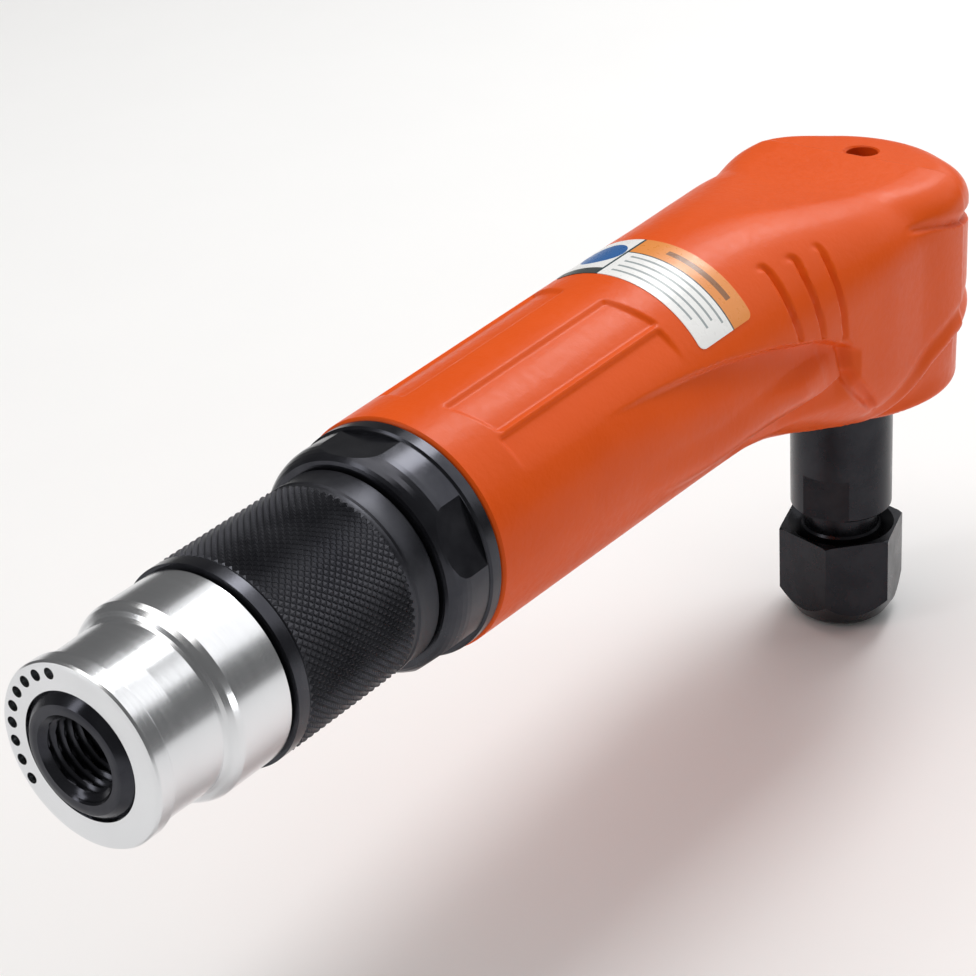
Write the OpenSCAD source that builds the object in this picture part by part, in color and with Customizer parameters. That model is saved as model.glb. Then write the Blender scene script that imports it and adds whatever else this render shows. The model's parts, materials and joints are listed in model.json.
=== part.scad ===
// Right-angle air die grinder: roll throttle at the air inlet, vane motor in the grip,
// bevel gears in the head, collet spindle pointing down.
// Millimetres. Origin: centre of the collet mouth. +Z up the spindle axis, +X to the front of the head.

/* [Overall] */
// Height of the grip axis above the collet mouth
axis_h = 63.5; // [60:0.1:70]
// Distance from the spindle axis back to the housing's rear face
housing_len = 108.3; // [100:0.1:130]
// Grip radius at the front of the grip
grip_r = 16.7; // [16:0.1:20]
// Grip radius at the rear of the grip
grip_rear_r = 15.6; // [15.3:0.1:18]
// Wall thickness of the grip around the motor, rear end
grip_wall = 2.4; // [2:0.1:4]

/* [Head] */
// Head radius seen from above
head_r = 19; // [18:0.1:24]
// Head top above the grip axis
head_top = 11; // [10.6:0.1:14]
// Head bottom below the grip axis
head_drop = 24; // [23.6:0.1:28]
// Grease port radius
grease_r = 2.4; // [2:0.1:3]
// Grease port distance in front of the spindle axis
grease_x = 6; // [5:0.1:8]
// Depth of the grease port down to its fitting
grease_d = 2.1; // [1.6:0.1:2.4]

/* [Rear end] */
// Visible length of the lock nut
lock_len = 8.7; // [7:0.1:12]
// Distance of the five lock nut flats from its axis
lock_flat = 14.3; // [13.6:0.1:14.8]
// Length of the throttle sleeve
throttle_len = 23.6; // [20:0.1:30]
// Throttle sleeve outside radius
throttle_r = 13; // [12.8:0.1:15]
// Throttle travel in degrees
throttle_turn = 45; // [30:1:60]
// Length of the exhaust sleeve
exhaust_len = 20.6; // [18:0.1:26]
// Exhaust sleeve radius at its front end
exhaust_r = 12.4; // [12:0.1:14]
// Exhaust sleeve rim radius
rim_r = 11.4; // [11.2:0.1:12]
// Number of exhaust holes in the rim
exhaust_holes = 9; // [5:1:12]
// Inlet thread minor radius
inlet_r = 4.45; // [4:0.05:4.8]
// Inlet thread length
inlet_len = 11; // [9:0.5:13]

/* [Motor] */
// Rotor radius
rotor_r = 9.5; // [8.5:0.1:9.7]
// Cylinder length between the end plates
cyl_len = 40; // [34:0.5:46]
// Number of vanes
vanes = 5; // [4:1:6]
// Rotor shaft radius
shaft_r = 4; // [3.5:0.1:4.4]

/* [Gears] */
// Gear module at the large end
gear_m = 1.1; // [0.9:0.05:1.2]
// Pinion teeth
pinion_teeth = 12; // [10:1:13]
// Spindle gear teeth
gear_teeth = 20; // [18:1:21]
// Face width
gear_face = 4; // [3:0.5:4.5]

/* [Spindle and collet] */
// Spindle collar radius
spindle_r = 7.94; // [7.5:0.05:8.3]
// Width across the two spindle wrench flats
spindle_af = 14; // [13:0.1:15]
// Collet bore radius, closed on a quarter inch shank
collet_r = 3.175; // [3:0.005:3.3]
// Width across the collet nut flats
nut_af = 17.46; // [17:0.01:19]
// Collet nut length
nut_len = 15.7; // [13:0.1:16]
// Collet nut thread pitch
nut_pitch = 1; // [0.75:0.05:1.25]

/* [Hidden] */
press_r = grease_r - 0.3; // press hole of the grease fitting
$fn = 64;
run = 0.05;          // radial running clearance of a shaft in a bore
gap = 0.3;           // gap between pieces that move past each other
seat = 0.02;         // radial gap of a seat that does not turn

// stations along the grip axis, measured from the spindle axis
x_rear = -housing_len;
x_lock = x_rear - lock_len;
x_thr1 = x_lock - gap;
x_thr0 = x_thr1 - throttle_len;
ring_t = 1.8;
x_ring1 = x_thr0 - gap;
x_ring0 = x_ring1 - ring_t;
x_exh1 = x_ring0 - gap;
x_exh0 = x_exh1 - exhaust_len;
head_h = 0.8;        // inlet bushing head standing proud of the exhaust sleeve
x_inlet = x_exh0 - head_h;

// grip bore and motor stack
bore_r = grip_rear_r - grip_wall;
fit_r = bore_r - run;
brg_w = 6;
brg_or = 9.5;
plate_w = brg_w + 2;
x_cyl1 = -52;
x_cyl0 = x_cyl1 - cyl_len;
x_fp1 = x_cyl1 + plate_w;
x_rp0 = x_cyl0 - plate_w;
cyl_r = rotor_r + 1.1;
offset_z = 0.7;      // rotor axis is the grip axis; the cylinder bore sits this far above it
pin_r = 1;
pin_y = fit_r - 1.45;

// pinion bearing
pb_w = 5;
pb_or = 9.5;
pb_ir = 5;
x_pb1 = -24;
x_pb0 = x_pb1 - pb_w;

// bevel gear geometry; both pitch cones meet where the axes cross
rp_p = gear_m * pinion_teeth / 2;
rp_g = gear_m * gear_teeth / 2;
cone_d = sqrt(rp_p * rp_p + rp_g * rp_g);
ang_p = atan(rp_p / rp_g);
ang_g = 90 - ang_p;
add = 0.75 * gear_m;
ded = 1.2 * gear_m;
slot_w = PI * gear_m / 2 + 0.16;

// head cavity and spindle stations, heights above the grip axis
cav_r = 12.4;
cav_top = 8.2;
sb_w = 8;
sb_or = 14;
sb_ir = 6;
cap_h = 3.4;         // bearing retainer height
zs_b0 = cap_h - head_drop;
zs_b1 = zs_b0 + sb_w;
gear_back = 11.6;
nb_r = 5;            // needle bearing cup radius
nb_ir = 3;
zs_n0 = 0.6;
zs_n1 = 6.6;
z_nose = 5.5 - axis_h;     // spindle nose, a fixed height above the collet mouth
z_collar = z_nose + 12.4;
// collet stations, heights above the collet mouth
zc_nut0 = -1.4;       // the nut's lower face stands below the collet mouth
zc_nut1 = zc_nut0 + nut_len;
nose_r = 6.25;
zc_nose = axis_h + z_nose;

// inlet bushing
head_rr = 7.9;
body_rr = 7.2;
screw_rr = 6.4;
pass_r = 3.4;
x_p0 = x_thr0 + 5.2;    // rear ports
x_p1 = x_thr1 - 7.6;    // front ports
port_r = 1.5;
ring_x0 = x_thr0 + 1.9; // rear O-ring
ring_x1 = x_thr1 - 4.2; // front O-ring
stop_r = 0.8;
stop_y = 9.2;

function grip_at(x) = grip_rear_r + (grip_r - grip_rear_r) * (x - x_rear) / (housing_len - 48);

// turned about the grip axis: points are [radius, station]
module x_turn(p, a = 360) { translate([0, 0, axis_h]) rotate([0, 90, 0]) rotate_extrude(angle = a) polygon(p); }
// turned about the spindle axis: points are [radius, height above the grip axis]
module z_turn(p) { translate([0, 0, axis_h]) rotate_extrude() polygon(p); }
module x_rod(x0, x1, r) { translate([x0, 0, axis_h]) rotate([0, 90, 0]) cylinder(h = x1 - x0, r = r); }
module z_rod(z0, z1, r) { translate([0, 0, axis_h + z0]) cylinder(h = z1 - z0, r = r); }
module x_tube(x0, x1, ro, ri) { difference() { x_rod(x0, x1, ro); x_rod(x0 - 1, x1 + 1, ri); } }
module z_tube(z0, z1, ro, ri) { difference() { z_rod(z0, z1, ro); z_rod(z0 - 1, z1 + 1, ri); } }
// turned about the grip axis by a degrees, child built with the grip axis at z = 0
module about_x(a) { translate([0, 0, axis_h]) rotate([a, 0, 0]) children(); }
// rod parallel to the grip axis at radius d and angle a (0 = +Y, 90 = up)
module x_hole(x0, x1, r, d, a) {
    about_x(a) translate([x0, d, 0]) rotate([0, 90, 0]) cylinder(h = x1 - x0, r = r);
}

// ball bearing pieces, local axis Z from 0 to w
module race_outer(ri, ro, rb, w) {
    rp = (ri + ro) / 2;
    difference() {
        cylinder(h = w, r = ro);
        translate([0, 0, -1]) cylinder(h = w + 2, r = rp + rb * 0.55);
        translate([0, 0, w / 2]) rotate_extrude() translate([rp, 0]) circle(r = rb + 0.04);
    }
}
module race_inner(ri, ro, rb, w) {
    rp = (ri + ro) / 2;
    difference() {
        cylinder(h = w, r = rp - rb * 0.55);
        translate([0, 0, -1]) cylinder(h = w + 2, r = ri);
        translate([0, 0, w / 2]) rotate_extrude() translate([rp, 0]) circle(r = rb + 0.04);
    }
}
module ball_set(ri, ro, rb, w, n) {
    for (k = [0 : n - 1]) rotate([0, 0, k * 360 / n]) translate([(ri + ro) / 2, 0, w / 2]) sphere(r = rb);
}
module ball_cage(ri, ro, rb, w, n) {
    rp = (ri + ro) / 2;
    difference() {
        translate([0, 0, w / 2 - rb * 1.2]) cylinder(h = rb * 2.4, r = rp + rb * 0.25);
        translate([0, 0, -1]) cylinder(h = w + 2, r = rp - rb * 0.25);
        for (k = [0 : n - 1]) rotate([0, 0, k * 360 / n])
            translate([rp - rb, 0, w / 2]) rotate([0, 90, 0]) cylinder(h = 2 * rb, r = rb + 0.03);
    }
}
module on_grip(x) { translate([x, 0, axis_h]) rotate([0, 90, 0]) children(); }
module on_spindle(z) { translate([0, 0, axis_h + z]) children(); }

// straight-sided bevel gear, apex at the origin, large end towards +Z; points are [radius, height]
module bevel(r_big, ang, teeth, phase, back) {
    small = cone_d - gear_face;
    difference() {
        rotate_extrude() polygon([
            [0, small * cos(ang) - add * sin(ang)],
            [small * sin(ang) + add * cos(ang), small * cos(ang) - add * sin(ang)],
            [cone_d * sin(ang) + add * cos(ang), cone_d * cos(ang) - add * sin(ang)],
            [r_big - ded * cos(ang), cone_d * cos(ang) + ded * sin(ang)],
            [r_big - ded * cos(ang), back],
            [0, back]]);
        for (k = [0 : teeth - 1]) rotate([0, 0, (k + phase) * 360 / teeth]) rotate([0, ang, 0])
            translate([0, 0, small - 3]) linear_extrude(gear_face + 5) polygon([
                [-ded, -slot_w / 2 + ded * 0.36], [add + 1, -slot_w / 2 - (add + 1) * 0.4],
                [add + 1, slot_w / 2 + (add + 1) * 0.4], [-ded, slot_w / 2 - ded * 0.36]]);
    }
}

module head_skin() {
    z_turn([[0, head_top], [head_r - 9, head_top], [head_r - 5.2, head_top - 1.6], [head_r - 2, head_top - 5],
        [head_r - 0.4, head_top - 9], [head_r, head_top - 13], [head_r, 9 - head_drop],
        [head_r - 1.2, 2 - head_drop], [head_r - 1.7, 0.8 - head_drop], [head_r - 2.5, -head_drop],
        [0, -head_drop]]);
}
module housing() {
    color("orangered") difference() {
        union() {
            // tapered grip
            x_turn([[0, x_rear], [grip_rear_r - 0.5, x_rear], [grip_at(x_rear + 1), x_rear + 1],
                [grip_at(-47), -47], [0, -47]]);
            // shoulder that blends the grip into the head
            hull() {
                x_rod(-48, -47.5, grip_at(-48), $fn = 40);
                translate([-8, 0, axis_h + 1]) scale([1, 1.02, 0.6]) sphere(r = 16.4, $fn = 32);
                translate([-3, 0, axis_h + 2.4 - head_drop]) cylinder(h = 14, r = 15.6, $fn = 32);
                translate([-3, 0, axis_h - 2]) cylinder(h = 8, r = 16, $fn = 32);
            }
            head_skin();
        }
        // motor bore, spacer bore, pinion opening
        x_rod(x_rear - 1, x_fp1, bore_r);
        x_rod(x_fp1 - 1, x_pb1, pb_or + seat);
        x_rod(x_pb1 - 1, -10, 8.2);
        // gear cavity around the needle bearing boss and the grease boss
        difference() {
            z_rod(zs_b1 - 1, cav_top, cav_r);
            z_rod(zs_n0, cav_top + 1, nb_r + 1.3);
            translate([grease_x, 0, axis_h + 5.2]) cylinder(h = 4, r = grease_r + 1.6);
        }
        z_rod(zs_n0 - 1, zs_n1, nb_r + seat);
        // spindle bearing seat and its retainer thread
        z_rod(-head_drop - 1, zs_b1, sb_or + seat);
        z_rod(-head_drop - 1, zs_b0, sb_or + 0.8);
        // grease port, the fitting's press hole below it, and the drilled passage
        translate([grease_x, 0, axis_h + head_top - grease_d]) cylinder(h = 5, r = grease_r);
        translate([grease_x, 0, axis_h + head_top - grease_d - 1.5]) cylinder(h = 2, r = press_r);
        translate([grease_x + 1.5, 0, axis_h + 4]) cylinder(h = 5, r = 0.8);
        // three gill grooves on each side of the shoulder
        for (s = [0, 1], k = [0 : 2]) mirror([0, s, 0])
            translate([-42 + 5.6 * k, 0, axis_h]) rotate([133, 0, 0]) rotate([0, 90, 0])
                rotate([0, 0, 90]) rotate_extrude(angle = 44) translate([17.6, 0]) circle(r = 0.85);
    }
}
module label_plate() {
    color("white") translate([0, 0, axis_h]) rotate([57, 0, 0]) rotate([0, 90, 0]) rotate([0, 0, 90])
        rotate_extrude(angle = 92) polygon([[grip_at(-61.8), -61.8], [grip_at(-49.4), -49.4],
            [grip_at(-49.4) + 0.12, -49.4], [grip_at(-61.8) + 0.12, -61.8]]);
}
module grease_fitting() {
    color("dimgray") translate([grease_x, 0, axis_h + head_top - grease_d - 1.5]) difference() {
        union() {
            cylinder(h = 0.9, r = press_r - seat);
            translate([0, 0, 0.9]) cylinder(h = 0.6, r1 = press_r - 0.4, r2 = press_r - 0.8);
        }
        translate([0, 0, 0.5]) cylinder(h = 3, r = 0.5);
        translate([0, 0, -1]) cylinder(h = 1.3, r = 1.4);
    }
}

// motor stack
module rear_plate() {
    color("silver") difference() {
        x_rod(x_rp0, x_cyl0, fit_r);
        x_rod(x_rp0 - 1, x_rp0 + brg_w, brg_or);
        x_rod(x_rp0, x_cyl0 + 1, shaft_r + 0.45);
        // inlet holes and exhaust notch
        for (a = [40, 65, 115, 140]) x_hole(x_rp0 - 1, x_cyl0 + 1, 0.9, 10.6, a);
        translate([x_rp0 - 1, -6, axis_h - fit_r - 1]) cube([plate_w + 2, 12, 2.6]);
        x_hole(x_cyl0 - 5, x_cyl0 + 1, pin_r + seat, pin_y, 0);
    }
}
module front_plate() {
    color("silver") difference() {
        x_rod(x_cyl1, x_fp1, fit_r);
        x_rod(x_cyl1 + 2, x_fp1 + 1, brg_or);
        x_rod(x_cyl1 - 1, x_fp1, shaft_r + 0.45);
        x_hole(x_cyl1 - 1, x_cyl1 + 5, pin_r + seat, pin_y, 0);
    }
}
module motor_cylinder() {
    color("gray") difference() {
        x_rod(x_cyl0, x_cyl1, fit_r);
        translate([0, 0, offset_z]) x_rod(x_cyl0 - 1, x_cyl1 + 1, cyl_r);
        x_hole(x_cyl0 - 1, x_cyl1 + 1, pin_r + seat, pin_y, 0);
        // exhaust slots under the bore, opening into a flat that runs back to the rear plate
        translate([x_cyl0 - 1, -6, axis_h - fit_r - 1]) cube([cyl_len - 6, 12, 2.6]);
        for (k = [0 : 4]) translate([x_cyl0 + 7 + 6 * k, -5, axis_h - fit_r - 1]) cube([2.4, 10, 5]);
    }
}
module motor_pin() { color("silver") x_hole(x_cyl0 - 4.8, x_cyl1 + 4.8, pin_r, pin_y, 0); }
module bearing_spacer() {
    color("gray") x_tube(x_fp1, x_pb0, pb_or, pb_or - 1.4);
}
module rotor() {
    color("slategray") difference() {
        union() {
            x_rod(x_cyl0 + gap, x_cyl1 - gap, rotor_r);
            x_rod(x_rp0 - 0.5, x_fp1, shaft_r);
            x_rod(x_fp1 - 0.01, x_fp1 + 8, 3, $fn = 6);
        }
        for (k = [0 : vanes - 1]) about_x(k * 360 / vanes)
            translate([x_cyl0, rotor_r - 4.8, -0.8]) cube([cyl_len, 6, 1.6]);
    }
}
module rotor_vanes() {
    color("saddlebrown") for (k = [0 : vanes - 1]) about_x(k * 360 / vanes)
        translate([x_cyl0 + gap, rotor_r - 4.75, -0.75]) cube([cyl_len - 2 * gap, 4.7, 1.5]);
}
module rear_race_outer() { color("lightgray") on_grip(x_rp0) race_outer(shaft_r, brg_or, 1.6, brg_w); }
module rear_race_inner() { color("lightgray") on_grip(x_rp0) race_inner(shaft_r, brg_or, 1.6, brg_w); }
module rear_balls() { color("white") on_grip(x_rp0) ball_set(shaft_r, brg_or, 1.6, brg_w, 8); }
module rear_cage() { color("goldenrod") on_grip(x_rp0) ball_cage(shaft_r, brg_or, 1.6, brg_w, 8); }
module front_race_outer() { color("lightgray") on_grip(x_cyl1 + 2) race_outer(shaft_r, brg_or, 1.6, brg_w); }
module front_race_inner() { color("lightgray") on_grip(x_cyl1 + 2) race_inner(shaft_r, brg_or, 1.6, brg_w); }
module front_balls() { color("white") on_grip(x_cyl1 + 2) ball_set(shaft_r, brg_or, 1.6, brg_w, 8); }
module front_cage() { color("goldenrod") on_grip(x_cyl1 + 2) ball_cage(shaft_r, brg_or, 1.6, brg_w, 8); }

// pinion group
module bevel_pinion() {
    color("steelblue") difference() {
        union() {
            translate([0, 0, axis_h]) rotate([180, 0, 0]) rotate([0, -90, 0])
                bevel(rp_p, ang_p, pinion_teeth, 0.5, 14);
            x_rod(x_pb1, -13.9, 6.2);
            x_rod(x_fp1 + 0.5, x_pb1 + 0.01, pb_ir);
        }
        x_rod(x_fp1, x_fp1 + 8.5, 3 + 0.05, $fn = 6);
    }
}
module pinion_race_outer() { color("lightgray") on_grip(x_pb0) race_outer(pb_ir, pb_or, 1.4, pb_w); }
module pinion_race_inner() { color("lightgray") on_grip(x_pb0) race_inner(pb_ir, pb_or, 1.4, pb_w); }
module pinion_balls() { color("white") on_grip(x_pb0) ball_set(pb_ir, pb_or, 1.4, pb_w, 10); }
module pinion_cage() { color("goldenrod") on_grip(x_pb0) ball_cage(pb_ir, pb_or, 1.4, pb_w, 10); }

// spindle group
module bevel_gear() {
    color("steelblue") difference() {
        union() {
            translate([0, 0, axis_h]) rotate([0, 180, 0]) bevel(rp_g, ang_g, gear_teeth, 0, gear_back);
            z_rod(zs_b1, 0.1 - gear_back, 7);
        }
        z_rod(zs_b1 - 1, 1, 4.5 + seat);
        z_rod(-4.6, 1, 6.4);
        gear_key_shape(0.03);
    }
}
module gear_key_shape(c) {
    translate([3.2 - c, -1 - c, axis_h + zs_b1]) cube([2.6 + 2 * c, 2 + 2 * c, 7 + c]);
}
module gear_key() { color("silver") gear_key_shape(0); }
module gear_clip() { color("dimgray") z_tube(-4.6, -3.8, 4.3, 2.6); }
module spindle() {
    color("darkslategray") difference() {
        z_turn([[0, z_nose], [nose_r - 0.6, z_nose], [nose_r, z_nose + 0.6], [nose_r, z_nose + 8.6],
            [6, z_nose + 9],
            [6, z_collar - 0.01], [spindle_r - 0.4, z_collar], [spindle_r, z_collar + 0.4],
            [spindle_r, zs_b0], [sb_ir, zs_b0], [sb_ir, zs_b1], [4.5, zs_b1], [4.5, -4.6],
            [2.6, -4.6], [2.6, -3.8], [4, -3.8], [4, -1.4], [nb_ir, -1], [nb_ir, zs_n1 - 0.4],
            [0, zs_n1 - 0.4]]);
        // collet seat: taper at the mouth, then a clearance bore
        z_turn([[0, z_nose - 1], [collet_seat(z_nose - 1) + run, z_nose - 1],
            [collet_seat(z_nose + 13) + run, z_nose + 13], [3.6, z_nose + 13], [3.6, z_nose + 18],
            [0, z_nose + 19.6]]);
        gear_key_shape(0.03);
        for (s = [0, 1]) rotate([0, 0, 10 + 180 * s]) translate([-spindle_r - 1, -9, axis_h + z_collar - 0.2])
            cube([spindle_r + 1 - spindle_af / 2, 18, 7.4]);
    }
}
function collet_seat(z) = 4.95 - (z - z_nose) * 0.085;
module spindle_race_outer() { color("lightgray") on_spindle(zs_b0) race_outer(sb_ir, sb_or, 2.4, sb_w); }
module spindle_race_inner() { color("lightgray") on_spindle(zs_b0) race_inner(sb_ir, sb_or, 2.4, sb_w); }
module spindle_balls() { color("white") on_spindle(zs_b0) ball_set(sb_ir, sb_or, 2.4, sb_w, 9); }
module spindle_cage() { color("goldenrod") on_spindle(zs_b0) ball_cage(sb_ir, sb_or, 2.4, sb_w, 9); }
module needle_cup() {
    color("lightgray") difference() {
        z_rod(zs_n0, zs_n1, nb_r);
        z_rod(zs_n0 - 1, zs_n1 + 1, nb_ir + 1.4 + 0.06);
    }
}
module needle_rollers() {
    color("white") for (k = [0 : 11]) rotate([0, 0, k * 30])
        translate([nb_ir + 0.7 + 0.03, 0, axis_h + zs_n0 + 0.5]) cylinder(h = 4.9, r = 0.7);
}
module bearing_retainer() {
    color("dimgray") difference() {
        z_rod(-head_drop, zs_b0, sb_or + 0.78);
        z_rod(-head_drop - 1, zs_b0 + 1, 9.6);
        for (k = [0 : 3]) rotate([0, 0, 45 + 90 * k]) translate([12.2, 0, axis_h - head_drop - 1])
            cylinder(h = 3, r = 0.9);
    }
}
module spindle_seal() { color("black") z_tube(-head_drop + 0.3, zs_b0 - 0.4, 9.6, spindle_r + run); }
module collet() {
    color("gray") difference() {
        rotate_extrude() polygon([[0, 0], [4.1, 0], [4.3, 0.2], [4.3, 2], [5.5, 3.2], [5.5, 4.4],
            [4.6, 4.4], [4.6, 5.4], [collet_seat(z_nose + 0.2), zc_nose + 0.2],
            [collet_seat(-46), axis_h - 46], [0, axis_h - 46]]);
        translate([0, 0, -1]) cylinder(h = axis_h - 44, r = collet_r);
        for (k = [0 : 3]) rotate([0, 0, 90 * k + 20]) translate([0, -0.35, -1]) cube([8, 0.7, 14]);
    }
}
module collet_nut() {
    color("black") rotate([0, 0, 15.6]) difference() {
        intersection() {
            translate([0, 0, zc_nut0]) cylinder(h = nut_len, r = nut_af / 2 / cos(30), $fn = 6);
            rotate_extrude() polygon([[0, zc_nut0], [5.4, zc_nut0], [6.5, zc_nut0 + 0.3],
                [7.5, zc_nut0 + 1.1], [10.4, zc_nut0 + 5.6], [10.4, zc_nut1 - 0.4], [9.7, zc_nut1],
                [0, zc_nut1]]);
        }
        rotate_extrude() polygon([[0, zc_nut0 - 1], [4.3 + run, zc_nut0 - 1], [4.3 + run, 2], [5.5 + run, 3.2],
            [5.5 + run, 4.9], [nose_r + 0.08, 4.9], [nose_r + 0.08, zc_nut1 - 2.2], [8.4, zc_nut1 + 0.1],
            [0, zc_nut1 + 0.1]]);
    }
}

// rear end
module lock_nut() {
    color("#202225") difference() {
        x_turn([[0, x_lock], for (a = [0 : 15 : 90]) [13.3 + 1.7 * sin(a), x_lock + 3 * (1 - cos(a))],
            [15, x_rear - 2.1], [grip_rear_r - 0.3, x_rear - 1.9], [grip_rear_r - 0.3, x_rear - 0.3],
            [grip_rear_r - 0.6, x_rear], [fit_r, x_rear], [fit_r, x_rp0], [0, x_rp0]]);
        x_rod(x_lock - 1, x_rear + 4, screw_rr + seat);
        x_rod(x_rear + 3.9, x_rp0 + 1, 9);
        for (k = [0 : 4]) about_x(85 + 72 * k) translate([x_lock - 1, lock_flat, -9])
            cube([lock_len - 1.3, 4, 18]);
        for (k = [0 : 7]) x_hole(x_lock - 1, x_rp0 + 1, 1, 11.5, 22.5 + 45 * k);
        x_hole(x_lock - 1, x_lock + 3, stop_r + seat, stop_y, 90);
    }
}
module stop_pin() { color("silver") x_hole(x_lock - 2.2, x_lock + 2.9, stop_r, stop_y, 90); }
module inlet_bushing() {
    color("#1b1c1f") difference() {
        x_turn([[0, x_inlet], [head_rr - 1.2, x_inlet], [head_rr, x_inlet + 1.2], [head_rr, x_inlet + 1.6],
            [body_rr, x_inlet + 1.6], [body_rr, ring_x0 - 0.9], [6, ring_x0 - 0.9], [6, ring_x0 + 0.9],
            [body_rr, ring_x0 + 0.9], [body_rr, ring_x1 - 0.9], [6, ring_x1 - 0.9], [6, ring_x1 + 0.9],
            [body_rr, ring_x1 + 0.9], [body_rr, x_lock], [screw_rr, x_lock], [screw_rr, x_rear + 3.5],
            [0, x_rear + 3.5]]);
        x_rod(x_inlet - 1, x_inlet + inlet_len, inlet_r);
        x_turn([[0, x_inlet - 0.01], [5.3, x_inlet - 0.01], [inlet_r, x_inlet + 0.85], [0, x_inlet + 0.85]]);
        x_rod(x_inlet + inlet_len - 0.01, x_inlet + inlet_len + 0.8, 4);
        x_rod(x_inlet + inlet_len, x_p0 + 2.6, pass_r);
        x_rod(x_p1 - 2.6, x_rear + 5, pass_r);
        for (k = [0 : 3], x = [x_p0, x_p1]) about_x(90 * k) translate([x, 0, 0]) cylinder(h = 9, r = port_r);
    }
}
module inlet_screen() {
    color("silver") difference() {
        x_rod(x_inlet + inlet_len, x_inlet + inlet_len + 0.8, 4 - seat);
        x_hole(x_inlet, x_inlet + 20, 0.45, 0, 0);
        for (k = [0 : 5]) x_hole(x_inlet, x_inlet + 20, 0.45, 1.3, 60 * k);
        for (k = [0 : 11]) x_hole(x_inlet, x_inlet + 20, 0.45, 2.6, 30 * k);
    }
}
module o_ring(x) {
    translate([x, 0, axis_h]) rotate([0, 90, 0]) rotate_extrude() translate([6.61, 0]) circle(r = 0.6);
}
module rear_o_ring() { color("black") o_ring(ring_x0); }
module front_o_ring() { color("black") o_ring(ring_x1); }
module rear_ring() {
    color("#202225") difference() {
        x_tube(x_ring0, x_ring1, throttle_r - 0.1, body_rr + seat);
        for (k = [0 : 7]) x_hole(x_ring0 - 1, x_ring1 + 1, 0.9, 10.1, 45 * k);
        x_turn([[9.2, x_ring1 - 0.8], [12.2, x_ring1 - 0.8], [12.2, x_ring1 + 1], [9.2, x_ring1 + 1]]);
    }
}
module throttle_sleeve() {
    color("#26282b") difference() {
        x_turn([[body_rr + run, x_thr0], [throttle_r - 0.3, x_thr0], [throttle_r, x_thr0 + 0.3],
            [throttle_r, x_thr1 - 0.3], [throttle_r - 0.3, x_thr1], [body_rr + run, x_thr1]]);
        // transfer pockets, between the ports while the throttle is shut
        for (k = [0 : 3]) about_x(45 + 90 * k)
            translate([x_p0 - port_r - 0.2, -port_r - 0.1, 0])
                cube([x_p1 - x_p0 + 2 * port_r + 0.4, 2 * port_r + 0.2, 9.2]);
        // exhaust passages with a ring groove at each end
        for (k = [0 : 7]) x_hole(x_thr0 - 1, x_thr1 + 1, 1, 11.4, 45 * k);
        for (x = [x_thr0 - 1, x_thr1 - 1]) x_tube(x, x + 2, 12.1, 10.9);
        // arc slot for the stop pin
        translate([x_thr1 - 2.4, 0, axis_h]) rotate([83 - throttle_turn, 0, 0]) rotate([0, 90, 0])
            rotate([0, 0, 90])
            rotate_extrude(angle = throttle_turn + 14) polygon([[8.1, 0], [10.3, 0], [10.3, 3], [8.1, 3]]);
    }
}
module exhaust_sleeve() {
    color("gainsboro") difference() {
        x_turn([[head_rr + run, x_exh0], [rim_r - 0.6, x_exh0], [rim_r - 0.2, x_exh0 + 0.1],
            [rim_r, x_exh0 + 0.4], [rim_r, x_exh0 + 2.3], [rim_r - 0.2, x_exh0 + 2.5], [10.9, x_exh0 + 2.7],
            [10.9, x_exh0 + 6], [11.05, x_exh0 + 10.5], [11.3, x_exh0 + 10.9], [11.75, x_exh0 + 11.2],
            [exhaust_r - 0.25, x_exh0 + 11.8], [exhaust_r, x_exh0 + 12.5],
            [exhaust_r, x_exh1 - 0.4], [exhaust_r - 0.4, x_exh1], [11.2, x_exh1], [11.2, x_exh0 + 13.6],
            [10.05, x_exh0 + 11.6], [10.05, x_exh0 + 2], [body_rr + run, x_exh0 + 2],
            [body_rr + run, x_exh0 + 0.85], [head_rr + run, x_exh0 + 0.85]]);
        for (k = [0 : exhaust_holes - 1])
            x_hole(x_exh0 - 1, x_exh0 + 2.2, 0.7, 9.95, 20 + 13.5 * (k - (exhaust_holes - 1) / 2));
    }
}
module muffler() { color("dimgray") x_tube(x_exh0 + 14, x_exh1 - 0.8, 11.2 - seat, 8.4); }

housing();
label_plate();
grease_fitting();
rear_plate();
front_plate();
motor_cylinder();
motor_pin();
bearing_spacer();
rotor();
rotor_vanes();
rear_race_outer();
rear_race_inner();
rear_balls();
rear_cage();
front_race_outer();
front_race_inner();
front_balls();
front_cage();
bevel_pinion();
pinion_race_outer();
pinion_race_inner();
pinion_balls();
pinion_cage();
bevel_gear();
gear_key();
gear_clip();
spindle();
spindle_race_outer();
spindle_race_inner();
spindle_balls();
spindle_cage();
needle_cup();
needle_rollers();
bearing_retainer();
spindle_seal();
collet();
collet_nut();
lock_nut();
stop_pin();
inlet_bushing();
inlet_screen();
rear_o_ring();
front_o_ring();
rear_ring();
throttle_sleeve();
exhaust_sleeve();
muffler();
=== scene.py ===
import json
import math
import bpy
import bmesh
import numpy as np
from mathutils import Matrix, Vector


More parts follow.
